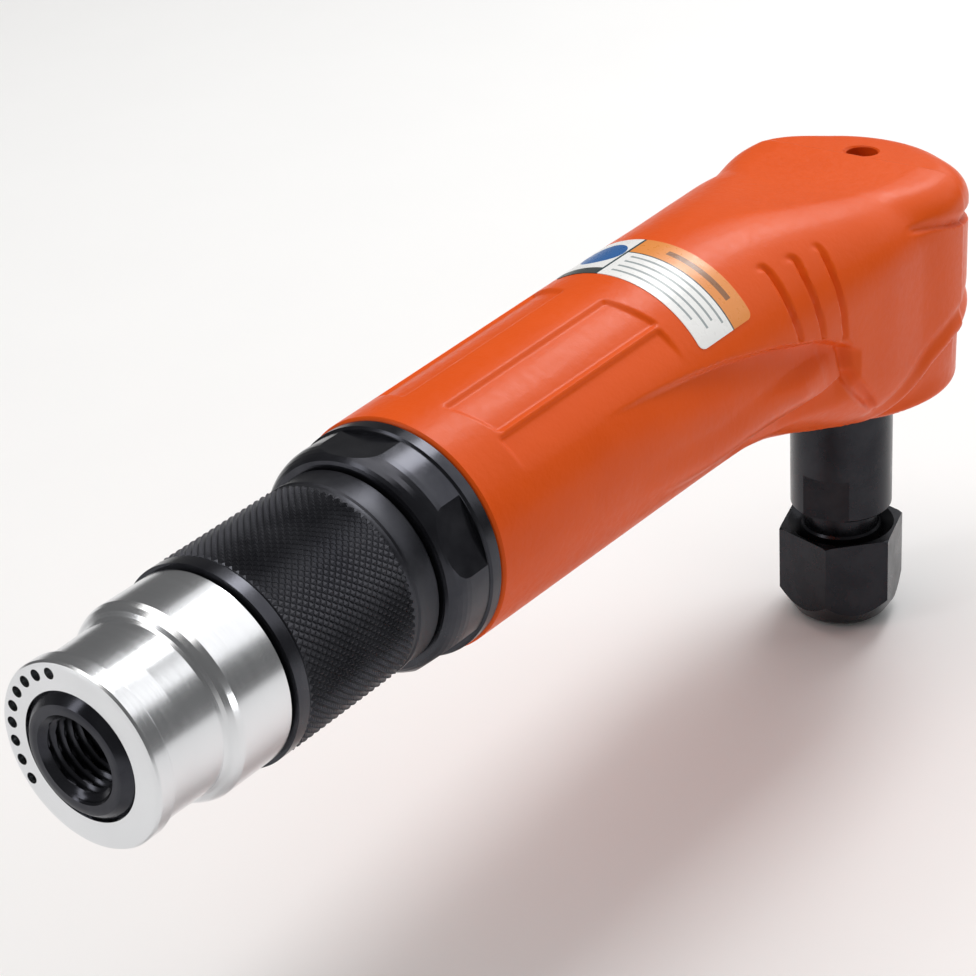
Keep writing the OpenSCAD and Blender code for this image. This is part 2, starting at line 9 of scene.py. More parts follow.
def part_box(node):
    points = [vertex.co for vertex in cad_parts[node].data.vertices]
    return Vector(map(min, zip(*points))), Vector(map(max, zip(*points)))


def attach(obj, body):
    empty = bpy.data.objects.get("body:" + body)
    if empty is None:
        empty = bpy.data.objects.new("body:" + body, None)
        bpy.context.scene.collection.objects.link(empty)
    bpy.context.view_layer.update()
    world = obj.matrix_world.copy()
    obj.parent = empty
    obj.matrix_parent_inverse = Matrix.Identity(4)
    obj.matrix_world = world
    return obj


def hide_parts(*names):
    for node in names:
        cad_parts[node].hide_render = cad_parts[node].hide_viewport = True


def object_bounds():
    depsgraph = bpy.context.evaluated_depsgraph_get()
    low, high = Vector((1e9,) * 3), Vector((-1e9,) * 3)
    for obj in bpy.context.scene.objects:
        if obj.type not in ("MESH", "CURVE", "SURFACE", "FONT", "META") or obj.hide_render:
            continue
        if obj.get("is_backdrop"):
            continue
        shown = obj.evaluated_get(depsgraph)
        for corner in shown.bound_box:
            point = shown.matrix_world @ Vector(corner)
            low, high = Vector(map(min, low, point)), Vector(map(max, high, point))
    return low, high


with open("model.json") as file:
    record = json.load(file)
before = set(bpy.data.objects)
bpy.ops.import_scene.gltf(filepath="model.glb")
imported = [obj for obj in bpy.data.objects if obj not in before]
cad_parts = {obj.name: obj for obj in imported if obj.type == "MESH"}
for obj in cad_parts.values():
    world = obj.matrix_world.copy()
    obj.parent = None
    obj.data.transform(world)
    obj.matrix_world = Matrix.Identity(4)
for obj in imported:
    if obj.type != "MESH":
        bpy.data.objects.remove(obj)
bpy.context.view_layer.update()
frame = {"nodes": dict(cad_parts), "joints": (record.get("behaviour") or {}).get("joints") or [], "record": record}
scene = bpy.context.scene
nodes = frame["nodes"]
joints = {j["name"]: j for j in frame["joints"]}
MM = 0.001
AXIS_H = joints["rotor_spin"]["pos_m"][2] * 1000      # grip axis above the collet mouth, mm


def span(node):
    """Lowest and highest corner of a CAD node in mm, heights from the grip axis."""
    lo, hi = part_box(node)
    return (np.array(lo) * 1000 - [0, 0, AXIS_H], np.array(hi) * 1000 - [0, 0, AXIS_H])


# ---------------------------------------------------------------- camera
VIEW_AZ, VIEW_EL, VIEW_ROLL = 51.79, 27.9, -4.07       # looking towards +X and +Y, and down, degrees
CAMERA_AT = (-319.2, -178.1, 150.8)                    # mm, height from the grip axis
LENS, SENSOR = 95.91, 36                               # mm
SHIFT = (0.0123, 0.0084)                               # small shift, in picture widths


def camera():
    az, el, roll = (math.radians(a) for a in (VIEW_AZ, VIEW_EL, VIEW_ROLL))
    forward = Vector((math.sin(az) * math.cos(el), math.cos(az) * math.cos(el), -math.sin(el)))
    level = forward.cross(Vector((0, 0, 1))).normalized()
    up = level.cross(forward)
    right = level * math.cos(roll) + up * math.sin(roll)
    top = up * math.cos(roll) - level * math.sin(roll)
    cam = bpy.data.cameras.new("camera")
    ob = bpy.data.objects.new("camera", cam)
    scene.collection.objects.link(ob)
    m = Matrix((right, top, -forward)).transposed().to_4x4()
    m.translation = (Vector(CAMERA_AT) + Vector((0, 0, AXIS_H))) * MM
    ob.matrix_world = m
    cam.lens = LENS
    cam.sensor_width = SENSOR
    cam.shift_x, cam.shift_y = SHIFT
    cam.clip_start = 0.01
    scene.camera = ob


# ---------------------------------------------------------------- meshes
def mesh_object(name, verts, faces, body):
    """Smooth shaded object from points in mm, heights from the grip axis."""
    me = bpy.data.meshes.new(name)
    v = np.asarray(verts, float).copy()
    v[:, 2] += AXIS_H
    me.from_pydata((v * MM).tolist(), [], faces)
    me.validate()
    bm = bmesh.new()
    bm.from_mesh(me)
    bmesh.ops.recalc_face_normals(bm, faces=bm.faces)
    bm.to_mesh(me)
    bm.free()
    me.polygons.foreach_set("use_smooth", [True] * len(me.polygons))
    ob = bpy.data.objects.new(name, me)
    scene.collection.objects.link(ob)
    ob["body"] = body
    return ob


def ring_faces(rings, n):
    """Quads between consecutive rings of n points."""
    out = []
    for a in range(0, (rings - 1) * n, n):
        for j in range(n):
            k = (j + 1) % n
            out.append((a + j, a + k, a + n + k, a + n + j))
    return out


def ring(x, r, n):
    """n points round the grip axis at station x; r is one radius, or one for each point."""
    t = np.arange(n) * 2 * math.pi / n
    r = np.broadcast_to(r, n)
    return np.stack([np.full(n, x), r * np.cos(t), r * np.sin(t)], 1)


def cut(ob, tool):
    """Takes the tool away from the object and deletes the tool."""
    m = ob.modifiers.new("cut", "BOOLEAN")
    m.operation = "DIFFERENCE"
    m.solver = "EXACT"
    m.object = tool
    dg = bpy.context.evaluated_depsgraph_get()
    new = bpy.data.meshes.new_from_object(ob.evaluated_get(dg))
    ob.modifiers.clear()
    old = ob.data
    ob.data = new
    bpy.data.meshes.remove(old)
    bpy.data.objects.remove(tool)


def auto_smooth(ob, deg):
    """Shades smooth, with a hard edge wherever two faces meet at more than deg."""
    me = ob.data
    me.polygons.foreach_set("use_smooth", [True] * len(me.polygons))
    bm = bmesh.new()
    bm.from_mesh(me)
    lim = math.radians(deg)
    for e in bm.edges:
        e.smooth = not (len(e.link_faces) != 2 or e.calc_face_angle(0) > lim)
    bm.to_mesh(me)
    bm.free()


def lathe_z(name, prof, n, body="tool_body"):
    """Closed solid turned about the spindle axis; the first and last points lie on it."""
    t = np.linspace(0, 2 * math.pi, n, endpoint=False)
    mid = prof[1:-1]
    v = np.concatenate([np.stack([r * np.cos(t), r * np.sin(t), np.full(n, z)], 1) for r, z in mid]
                       + [[[0, 0, prof[0][1]], [0, 0, prof[-1][1]]]])
    k = len(mid)
    f = ring_faces(k, n)
    f += [((j + 1) % n, j, k * n) for j in range(n)]
    f += [((k - 1) * n + j, (k - 1) * n + (j + 1) % n, k * n + 1) for j in range(n)]
    return mesh_object(name, v, f, body)


# ---------------------------------------------------------------- housing shape, mm, grip axis at z = 0
hlo, hhi = span("housing")
X0 = hlo[0]
HEAD_R = hhi[0] - 0.15
TOP = 11.0
BOT = hlo[2]
REAR_R = 15.6                     # grip radius at its rear edge
BORE = span("rear_plate")[1][1] + 0.05
CAST_X, CAST_Z = -4, -6.5         # point inside the head that its surface is measured from
NECK = (-48, -8)                  # stations between which the section's middle drops to CAST_Z
GRIP_R = 16.3                     # mean radius of the grip
MM_PER_DEG = 0.3                  # along the grip's surface
#   station, half width, top, bottom, corner radius
LOFT = np.array([
    [X0, REAR_R, REAR_R, -REAR_R, REAR_R],
    [-60, 16.45, 16.45, -16.45, 16.45],
    [-48, 16.7, 16.6, -16.7, 16.5],
    [-40, 16.9, 16.2, -17.4, 15.8],
    [-32, 17.3, 15.3, -18.9, 14.2],
    [-24, 17.8, 14.0, -20.9, 12.0],
    [-16, 18.2, 12.7, -22.4, 9.8],
    [-8, 18.1, 11.5, BOT + 0.9, 8.0],
    [0, 17.9, TOP, BOT + 1, 7.0],
    [30, 17.9, TOP, BOT + 1, 7.0]])

# Curves on the grip are (station, angle from +Y towards +Z), on the -Y side; the +Y side mirrors them.
GILLS = (
    [(-43.5, 132), (-42, 132.5), (-41.5, 135), (-41.5, 142), (-41.5, 156), (-41, 171)],
    [(-37.5, 135.5), (-36, 136.5), (-35.5, 139), (-36, 148), (-36, 162), (-35.5, 177)],
    [(-31.5, 138), (-30.5, 138.5), (-30, 141), (-30.5, 152), (-30.5, 168), (-30, 184)])
SWEEP = ((-88, 147), (-80.5, 149.5), (-74, 151.5), (-65.5, 155), (-57.5, 159.5), (-46, 169), (-40, 175.5),
         (-35, 180.5), (-29.5, 190), (-24, 199))
SWEEP_DEPTH = ((-84, 0), (-74, 0.4), (-60, 1.1), (-46, 1.8), (-34, 2.0), (-29.5, 1.5), (-26, 0))
BELLY = ((-80, 190), (-63, 199.5), (-54, 199), (-45.5, 199), (-39, 199), (-33, 198))
LOW_FOLD = ((-60, 214), (-50, 214), (-41, 212), (-36.5, 208), (-29.5, 205.5), (-24, 203))
LOW_FOLD_DEPTH = ((-58, 0), (-46, 0.7), (-36, 1.25), (-30, 1.0), (-26.5, 0))
VALLEY = ((-30.5, 186), (-29, 194), (-28.5, 204), (-26.5, 212), (-22.5, 221), (-18.5, 229))
# Points of the line round the front of the head and of the nick behind it: x, y, height.
BROW = ((-17.5, -14, 7.4), (-13, -16, 7.3), (-6, -17.7, 6.6), (0.5, -18.6, 5.2), (6.5, -17.5, 3.9),
        (12, -14.3, 2.8), (16.5, -8.5, 2.2), (18.6, 0, 2.1))
NICK = ((-20.5, -14, 9.6), (-19.5, -15, 8.6))
# Height of the ledge round the head, against the angle from +X towards -Y.
LEDGE = ((0, 60, 90, 108, 124, 136, 146, 160, 180), (-9.5, -11.2, -13, -15, -18, -20.7, -22.4, -24, -24))


def middle(x):
    """Height of the section's middle at station x."""
    return np.interp(x, NECK, [0, CAST_Z])


def smooth_table(x, col):
    """Column col of LOFT at the stations x, as a curve without overshoot."""
    xs = LOFT[:, 0]
    ys = LOFT[:, col]
    d = np.diff(ys) / np.diff(xs)
    m = np.empty_like(ys)
    m[0], m[-1] = d[0], 0
    for i in range(1, len(ys) - 1):
        m[i] = 0 if d[i - 1] * d[i] <= 0 else 2 * d[i - 1] * d[i] / (d[i - 1] + d[i])
    i = np.clip(np.searchsorted(xs, x) - 1, 0, len(xs) - 2)
    h = xs[i + 1] - xs[i]
    t = (x - xs[i]) / h
    return (ys[i] * (1 + 2 * t) * (1 - t) ** 2 + m[i] * h * t * (1 - t) ** 2
            + ys[i + 1] * t * t * (3 - 2 * t) + m[i + 1] * h * t * t * (t - 1))


def smin(a, b, k):
    """The smaller of a and b, blended over the width k."""
    h = np.clip(0.5 + 0.5 * (b - a) / k, 0, 1)
    return b + (a - b) * h - k * h * (1 - h)


def ramp(x, a, b):
    """Smooth step from 0 at a to 1 at b."""
    t = np.clip((x - a) / (b - a), 0, 1)
    return t * t * (3 - 2 * t)


def base_field(x, y, z):
    """Signed distance, near enough, to the housing without its small details."""
    xc = np.clip(x, X0, 10)
    w, top, bot, c = (smooth_table(xc, k) for k in (1, 2, 3, 4))
    zc, hh = (top + bot) / 2, (top - bot) / 2
    c = np.minimum(c, np.minimum(w, hh))
    qy, qz = np.abs(y) - w + c, np.abs(z - zc) - hh + c
    loft = np.hypot(np.maximum(qy, 0), np.maximum(qz, 0)) + np.minimum(np.maximum(qy, qz), 0) - c
    loft = np.maximum(loft, x - 2)
    # head: upright drum with rounded edges, tighter at the sides than at the front
    az = np.degrees(np.arctan2(np.abs(y), x))
    rho = np.hypot(x, y) - (HEAD_R - 0.3)
    rt = np.where(z > -6, 7.0 - 2.4 * ramp(az, 35, 75), 1.2)
    zz = np.where(z > -6, z - TOP + 0.07 * np.clip(x - 4, 0, 20), BOT - z)
    a, b = rho + rt, zz + rt
    drum = np.hypot(np.maximum(a, 0), np.maximum(b, 0)) + np.minimum(np.maximum(a, b), 0) - rt
    return smin(loft, drum, 2.0)


def cast(ox, oy, oz, dx, dy, dz, far=34.0):
    """Outermost distance along each ray where the base field is zero."""
    lo = np.zeros(ox.shape)
    hi = np.full(ox.shape, far)
    for _ in range(26):
        mid = (lo + hi) / 2
        inside = base_field(ox + dx * mid, oy + dy * mid, oz + dz * mid) < 0
        lo = np.where(inside, mid, lo)
        hi = np.where(inside, hi, mid)
    return (lo + hi) / 2


def on_grip(pts):
    """Surface points for (station, angle in degrees from +Y towards +Z)."""
    p = np.array(pts, float)
    a = np.radians(p[:, 1])
    z = np.zeros(len(p))
    r = cast(p[:, 0], z, z, z, np.cos(a), np.sin(a))
    return np.stack([p[:, 0], r * np.cos(a), r * np.sin(a)], 1)


def resample(p, k=8):
    """Smooth curve through the points p, with k steps between each two."""
    p = np.asarray(p, float)
    q = np.vstack([2 * p[0] - p[1], p, 2 * p[-1] - p[-2]])
    out = []
    for i in range(1, len(q) - 2):
        for t in np.linspace(0, 1, k, endpoint=False):
            out.append(0.5 * ((2 * q[i]) + (q[i + 1] - q[i - 1]) * t
                              + (2 * q[i - 1] - 5 * q[i] + 4 * q[i + 1] - q[i + 2]) * t * t
                              + (3 * q[i] - q[i - 1] - 3 * q[i + 1] + q[i + 2]) * t ** 3))
    out.append(q[-2])
    return np.array(out)


def near_curve(P, curve):
    """Distance from each point of P to a polyline, and how far along it (0 to 1)."""
    best = np.full(len(P), 1e9)
    along = np.zeros(len(P))
    seg = np.linalg.norm(np.diff(curve, axis=0), axis=1)
    cum = np.concatenate([[0], np.cumsum(seg)])
    for i in range(len(curve) - 1):
        a, d = curve[i], curve[i + 1] - curve[i]
        t = np.clip(((P - a) @ d) / max(d @ d, 1e-9), 0, 1)
        dist = np.linalg.norm(P - a - t[:, None] * d, axis=1)
        m = dist < best
        best[m] = dist[m]
        along[m] = (cum[i] + t[m] * seg[i]) / cum[-1]
    return best, along


def groove(P, pts, width, depth, keys=(0, 1, 1, 0), at=(0, 0.15, 0.85, 1)):
    """Depth of a soft channel along a curve; keys scale it along the way."""
    d, t = near_curve(P, resample(pts))
    w = np.interp(t, np.linspace(0, 1, len(width)), width) if np.ndim(width) else width
    return depth * np.interp(t, at, keys) * np.clip(1 - (d / w) ** 2, 0, 1) ** 2


def pocket(P, x0, x1, a0, a1, edge, skew):
    """1 inside a rectangle wrapped on the grip, 0 outside, with soft walls."""
    a = np.degrees(np.arctan2(P[:, 2], P[:, 1]))
    x = P[:, 0] - (a - (a0 + a1) / 2) * skew
    e, ea = edge / 2, math.degrees(edge / GRIP_R) / 2
    along = ramp(x, x0 - e, x0 + e) * (1 - ramp(x, x1 - e, x1 + e))
    return along * ramp(a, a0 - ea, a0 + ea) * (1 - ramp(a, a1 - ea, a1 + ea))


def arc(P):
    """Station and angle round the grip axis of each point, in degrees from +Y, on the -Y side."""
    return P[:, 0], np.degrees(np.arctan2(P[:, 2], P[:, 1])) % 360


def fold(P, table, depth, soft, wide):
    """Step down below a line drawn round the grip, coming back up over the width below it."""
    x, a = arc(P)
    xs, an = np.array(table, float).T
    below = (a - np.interp(x, xs, an)) * MM_PER_DEG      # mm, downwards
    k = np.interp(x, *np.array(depth, float).T)
    return k * ramp(below, -soft / 2, soft / 2) * (1 - ramp(below, soft, wide))


def details(P):
    """How far in (mm) each surface point sits below the base shape. Both sides are alike."""
    Q = P.copy()
    Q[:, 1] = -np.abs(Q[:, 1])
    x, a = arc(Q)
    d = np.zeros(len(Q))
    for gill in GILLS:
        d += groove(Q, on_grip(gill), 0.8, 0.7, (0.05, 0.4, 1, 1, 0.6), (0, 0.08, 0.22, 0.8, 1))
    # long sweep along the side: a step under its line, a fuller belly below, a second fold under that
    d += fold(Q, SWEEP, SWEEP_DEPTH, 0.9, 8.5)
    d -= groove(Q, on_grip(BELLY), (3.0, 4.0, 4.2, 4.0, 3.2), 0.95, (0, 1, 1, 0.2), (0, 0.35, 0.85, 1))
    d += fold(Q, LOW_FOLD, LOW_FOLD_DEPTH, 0.9, 4.5)
    # upright valley where the neck meets the head, running out along the ledge
    d += groove(Q, on_grip(VALLEY), (1.0, 1.5, 1.7, 1.4, 0.8), 0.95, (0.3, 1, 1, 0.2), (0, 0.2, 0.8, 1))
    # ledge rising round the head, with the skirt drawn in below it and a crease above it
    h = np.interp(np.degrees(np.arctan2(-Q[:, 1], x)), *LEDGE) - Q[:, 2]
    side = ramp(x, -23, -17) * ramp(np.hypot(x, Q[:, 1]), 15.0, 17.0)
    d += side * (1.05 * ramp(h, 0.2, 1.2) + 0.6 * np.clip(h / 11, 0, 1))
    d += side * (0.35 * np.exp(-((h + 2.7) / 1.0) ** 2) - 0.2 * np.exp(-((h + 0.6) / 0.7) ** 2))
    # line round the front of the head, and a small nick behind its start
    d += groove(Q, BROW, (0.7, 1.0, 1.3, 1.3, 1.3), 0.95, (0.1, 0.6, 1, 1), (0, 0.2, 0.4, 1))
    d += groove(Q, NICK, 0.5, 0.3, (1, 1), (0, 1))
    # grip pocket beside the crown, and the lower facet that fades out downwards
    d += 0.45 * pocket(Q, -100.6, -66.6, 101.5, 126.5, 0.8, 0.09)
    d += 0.45 * pocket(Q, -100, -65.6, 129.5, 158, 0.8, 0.02) * (1 - ramp(a, 131, 150))
    return d


def grip_rings(n):
    """Rings along the grip, each cast outwards from the section's middle."""
    t = np.arange(n) * 2 * math.pi / n
    zero = np.zeros(n)
    stations = np.concatenate([[X0 + 0.35, X0 + 0.7], np.arange(X0 + 1.05, CAST_X, 0.3), [CAST_X]])
    rings = []
    for x in stations:
        zc = middle(x)
        r = cast(zero + x, zero, zero + zc, zero, np.cos(t), np.sin(t))
        rings.append(np.stack([zero + x, r * np.cos(t), zc + r * np.sin(t)], 1))
    return rings


def head_rings(n):
    """Rings closing in on the front of the head, cast from one point, and the tip's station."""
    t = np.arange(n) * 2 * math.pi / n
    zero = np.zeros(n)
    rings = []
    for al in np.radians(np.linspace(0, 90, 100)[1:-1]):
        dx, dy, dz = math.sin(al), np.cos(t) * math.cos(al), np.sin(t) * math.cos(al)
        r = cast(zero + CAST_X, zero, zero + CAST_Z, zero + dx, dy, dz)
        rings.append(np.stack([r * dx + CAST_X, r * dy, r * dz + CAST_Z], 1))
    one, none = np.ones(1), np.zeros(1)
    tip = cast(CAST_X * one, none, CAST_Z * one, one, none, none)[0] + CAST_X
    return rings, tip


def cut_cavity(ob):
    """Head cavity, bearing seat and retainer seat, from below, after the CAD pieces in them."""
    lowest, roof, bore, fit = BOT - 2, 8.2, 12.4, 0.02
    ret, race, cup = (span(name) for name in ("bearing_retainer", "spindle_race_outer", "needle_cup"))
    ret_r, race_r, cup_r = (piece[1][0] + fit for piece in (ret, race, cup))
    prof = [(0, lowest), (ret_r, lowest), (ret_r, ret[1][2]), (race_r, ret[1][2]), (race_r, race[1][2]),
            (bore, race[1][2]), (bore, roof), (6.3, roof), (6.3, cup[0][2]), (cup_r, cup[0][2]),
            (cup_r, cup[1][2]), (0, cup[1][2])]
    cut(ob, lathe_z("cavity_tool", prof, 96))


def cut_grease_port(ob):
    """Countersunk port from the top, down to the pressed fitting."""
    lo, hi = span("grease_fitting")
    port = next(m for m in frame["record"]["mounts"] if m["name"] == "grease_port")
    r, press_r = port["dims"]["r_mm"], (hi[0] - lo[0]) / 2 + 0.02
    prof = [(0, lo[2]), (press_r, lo[2]), (press_r, hi[2]), (r, hi[2]), (r, TOP - 0.5), (r + 0.9, TOP + 0.4),
            (r + 0.9, TOP + 3), (0, TOP + 3)]
    tool = lathe_z("port_tool", prof, 64)
    tool.data.transform(Matrix.Translation((port["pos_m"][0], 0, 0)))
    cut(ob, tool)


def housing_shell():
    n = 400
    front, tip_x = head_rings(n)
    outside = grip_rings(n) + front
    V = np.concatenate(outside)
    # details move each point towards the section's middle
    C = np.stack([np.minimum(V[:, 0], CAST_X), np.zeros(len(V)), middle(V[:, 0])], 1)
    u = C - V
    u /= np.linalg.norm(u, axis=1)[:, None]
    V = V + u * details(V)[:, None]
    # bearing bore, motor bore and the rolled rear edge, in rings of the same count
    inside = [(-13.0, 8.2), (-24.0, 8.2), (-24.0, 9.52), (-44.0, 9.52), (-44.0, BORE), (X0 + 5, BORE),
              (X0, BORE), (X0, REAR_R - 0.55), (X0 + 0.1, REAR_R - 0.2)]
    V = np.concatenate([ring(x, r, n) for x, r in inside] + [V, [[tip_x, 0, CAST_Z], [-13.0, 0, 0]]])
    rows = len(inside) + len(outside)
    F = ring_faces(rows, n)
    tip, cap = rows * n, rows * n + 1
    last = (rows - 1) * n
    F += [(last + j, last + (j + 1) % n, tip) for j in range(n)]
    F += [((j + 1) % n, j, cap) for j in range(n)]
    ob = mesh_object("housing_shell", V, F, "tool_body")
    cut_cavity(ob)
    cut_grease_port(ob)
    auto_smooth(ob, 38)
    return ob


# ---------------------------------------------------------------- label, knurl, thread
LABEL_R = 16.6                    # grip radius under the label
LABEL_ENDS = (57.5, 148.5)        # where the label starts and ends round the grip, degrees
LABEL_CORNER = 1.1


def round_corners(s, half, r):
    """Pulls the points of a flat rectangle inside its corners of radius r."""
    q = np.abs(s) - (half - r)
    length = np.hypot(q[:, 0], q[:, 1])
    over = (q[:, 0] > 0) & (q[:, 1] > 0)
    k = np.where(over, q.max(1) / np.maximum(length, 1e-9), 1.0)
    out = s.copy()
    out[over] = np.sign(s[over]) * ((half - r) + q[over] * k[over][:, None])
    return out


def label_patch():
    """Thin sticker laid on the grip, with its own flat map for the print."""
    lo, hi = span("label_plate")
    x0, x1 = lo[0] + 0.1, hi[0] - 0.1
    a0, a1 = LABEL_ENDS
    nu, nv = 90, 24
    uv = [(i / nu, j / nv) for j in range(nv + 1) for i in range(nu + 1)]
    half = np.array([math.radians(a1 - a0) * LABEL_R, x1 - x0]) / 2
    flat = round_corners((np.array(uv) * 2 - 1) * half, half, LABEL_CORNER)
    station = flat[:, 1] + (x0 + x1) / 2
    angle = np.degrees(flat[:, 0] / LABEL_R) + (a0 + a1) / 2
    surf = on_grip(np.stack([station, angle], 1))
    outward = surf * [0, 1, 1]
    outward /= np.linalg.norm(outward, axis=1)[:, None]
    top = surf + outward * 0.09
    under = surf - outward * 0.05
    n = nu + 1
    count = n * (nv + 1)
    F = []
    for j in range(nv):
        for i in range(nu):
            a = j * n + i
            F.append((a, a + 1, a + n + 1, a + n))
            F.append((count + a, count + a + n, count + a + n + 1, count + a + 1))
    rim = (list(range(n)) + [j * n + nu for j in range(1, nv + 1)]
           + [nv * n + i for i in range(nu - 1, -1, -1)] + [j * n for j in range(nv - 1, 0, -1)])
    F += [(a, count + a, count + b, b) for a, b in zip(rim, rim[1:] + rim[:1])]
    ob = mesh_object("label", np.concatenate([top, under]), F, "tool_body")
    layer = ob.data.uv_layers.new(name="UVMap")
    for loop in ob.data.loops:
        layer.data[loop.index].uv = uv[loop.vertex_index % count]
    auto_smooth(ob, 40)
    return ob


def closed_faces(m, n, split=lambda row, col: None):
    """Quads between m rings of n points, the last joined to the first; split can cut one in two."""
    F = []
    for i in range(m):
        a, b = i * n, ((i + 1) % m) * n
        for c in range(n):
            d = (c + 1) % n
            way = split(i, c)
            if way is None:
                F.append((a + c, a + d, b + d, b + c))
            elif way:
                F += [(a + c, a + d, b + c), (a + d, b + d, b + c)]
            else:
                F += [(a + c, a + d, b + d), (a + c, b + d, b + c)]
    return F


def knurled_sleeve():
    """Throttle sleeve with pyramid knurling: peaks on every other point, in staggered rings."""
    lo, hi = span("throttle_sleeve")
    x0, x1, R = lo[0], hi[0], hi[1]
    n = 156                                   # half pitches round the sleeve
    bore, depth, plain_end = 7.25, 0.4, 4.5
    k0, k1 = x0 + 0.15, x1 - plain_end        # knurled length
    half_pitch = 2 * math.pi * R / n * 1.08
    rows = 2 * int(round((k1 - k0) / half_pitch / 2)) + 1
    col = np.arange(n)
    V = [ring(x, r, n) for x, r in ((x0, bore), (x0, R - 0.5), (x0 + 0.12, R - 0.36))]
    first = len(V)
    for i in range(rows):
        peak_r = R - depth * (0.65 if i in (0, rows - 1) else 0)
        V.append(ring(k0 + (k1 - k0) * i / (rows - 1), np.where((i + col) % 2 == 0, peak_r, R - depth), n))
    last = len(V) - 1
    for x, r in ((k1 + 0.18, R - 0.3), (k1 + 0.5, R - 0.3), (k1 + 0.75, R - 0.12)):
        V.append(ring(x, r, n))
    for q in np.linspace(0, 1, 6):            # plain end, slightly waisted
        V.append(ring(k1 + 1 + (x1 - 1.35 - k1) * q, R - 0.1 - 0.12 * math.sin(math.pi * q), n))
    for x, r in ((x1 - 0.1, R - 0.25), (x1, R - 0.5), (x1, bore)):
        V.append(ring(x, r, n))

    def split(row, c):
        """Knurl quads are split along the line from pit to pit."""
        return (row - first + c) % 2 == 0 if first <= row < last else None
    ob = mesh_object("knurled_throttle", np.concatenate(V), closed_faces(len(V), n, split), "throttle")
    auto_smooth(ob, 24)
    return ob


def threaded_inlet():
    """Inlet bushing's visible head with a cut thread; the body inside stays with the sleeve."""
    lo, hi = span("inlet_bushing")
    x0, R = lo[0], hi[1]
    xe = x0 + 11.0                            # end of the thread
    n, step, pitch = 120, 0.1, 1.25
    crest, root = 4.45, 5.2
    entry, throat, body = 5.42, 4.02, 7.18
    turn = np.arange(n) / n
    # outside, from the front end back to the rear face
    V = [ring(x, r, n) for x, r in (
        (x0 + 2.6, body), (x0 + 1.7, body), (x0 + 1.6, R), (x0 + 1.25, R), (x0 + 1.2, R - 0.03),
        (x0 + 0.03, R - 1.2), (x0, R - 1.25), (x0, 6.0), (x0, 5.45), (x0 + 0.05, 5.4))]
    for x in np.arange(x0 + 0.15, xe, step):
        wave = np.abs(((x - x0) / pitch + turn) % 1.0 * 2 - 1)       # 1 at the root, 0 at the crest
        r = crest + (root - crest) * np.clip((wave - 0.08) / 0.84, 0, 1)
        chamfer = entry - (x - x0 - 0.05) * 1.05
        run_out = ramp(x, xe - 1.6, xe - 0.2)
        V.append(ring(x, np.maximum(r * (1 - run_out) + crest * run_out, chamfer), n))
    V += [ring(x, r, n) for x, r in ((xe, crest), (xe, throat), (xe + 2.5, throat), (xe + 2.5, body))]
    ob = mesh_object("inlet_thread", np.concatenate(V), closed_faces(len(V), n), "tool_body")
    auto_smooth(ob, 32)
    return ob


# ---------------------------------------------------------------- materials
def new_mat(name, color, metallic=0.0, rough=0.4, **extra):
    m = bpy.data.materials.new(name)
    m.use_nodes = True
    nt = m.node_tree
    b = nt.nodes["Principled BSDF"]
    b.inputs["Base Color"].default_value = (*color, 1)
    b.inputs["Metallic"].default_value = metallic
    b.inputs["Roughness"].default_value = rough
    for k, v in extra.items():
        b.inputs[k.replace("_", " ")].default_value = v
    co = nt.nodes.new("ShaderNodeTexCoord")
    return m, nt, b, co


def stretched(nt, co, scale):
    """Object coordinates scaled apart along the three axes."""
    mp = nt.nodes.new("ShaderNodeMapping")
    mp.inputs["Scale"].default_value = scale
    nt.links.new(co.outputs["Object"], mp.inputs["Vector"])
    return mp.outputs[0]


def noise(nt, vector, scale, detail=2.0, rough=0.5):
    n = nt.nodes.new("ShaderNodeTexNoise")
    n.inputs["Scale"].default_value = scale
    n.inputs["Detail"].default_value = detail
    n.inputs["Roughness"].default_value = rough
    nt.links.new(vector, n.inputs["Vector"])
    return n.outputs["Fac"]


def remap(nt, src, lo, hi):
    """Stretches a noise value's usual spread to lo and hi."""
    r = nt.nodes.new("ShaderNodeMapRange")
    r.inputs["From Min"].default_value = 0.3
    r.inputs["From Max"].default_value = 0.7
    r.inputs["To Min"].default_value = lo
    r.inputs["To Max"].default_value = hi
    nt.links.new(src, r.inputs["Value"])
    return r.outputs["Result"]


def tint(nt, b, fac, dark, light):
    """Varies the base colour between dark and light."""
    mx = nt.nodes.new("ShaderNodeMix")
    mx.data_type = "RGBA"
    mx.inputs["A"].default_value = (*dark, 1)
    mx.inputs["B"].default_value = (*light, 1)
    nt.links.new(fac, mx.inputs["Factor"])
    nt.links.new(mx.outputs["Result"], b.inputs["Base Color"])


def bumps(nt, b, sources):
    """Chains bump nodes: sources is [(height output, strength, distance in metres)]."""
    prev = None
    for src, strength, dist in sources:
        bp = nt.nodes.new("ShaderNodeBump")
        bp.inputs["Strength"].default_value = strength
        bp.inputs["Distance"].default_value = dist
        nt.links.new(src, bp.inputs["Height"])
        if prev:
            nt.links.new(prev.outputs["Normal"], bp.inputs["Normal"])
        prev = bp
    nt.links.new(prev.outputs["Normal"], b.inputs["Normal"])


def paint():
    m, nt, b, co = new_mat("orange_paint", (0.74, 0.09, 0.007), 0.0, 0.38, Specular_IOR_Level=0.12,
                           Coat_Weight=0.05, Coat_Roughness=0.16)
    here = co.outputs["Object"]
    tint(nt, b, remap(nt, noise(nt, here, 60, 3), 0, 1), (0.72, 0.085, 0.006), (0.76, 0.095, 0.008))
    fine = noise(nt, here, 2600, 2, 0.6)
    peel = noise(nt, here, 900)
    nt.links.new(remap(nt, peel, 0.30, 0.42), b.inputs["Roughness"])
    bumps(nt, b, [(peel, 0.35, 0.00012), (fine, 0.3, 0.00005)])
    return m


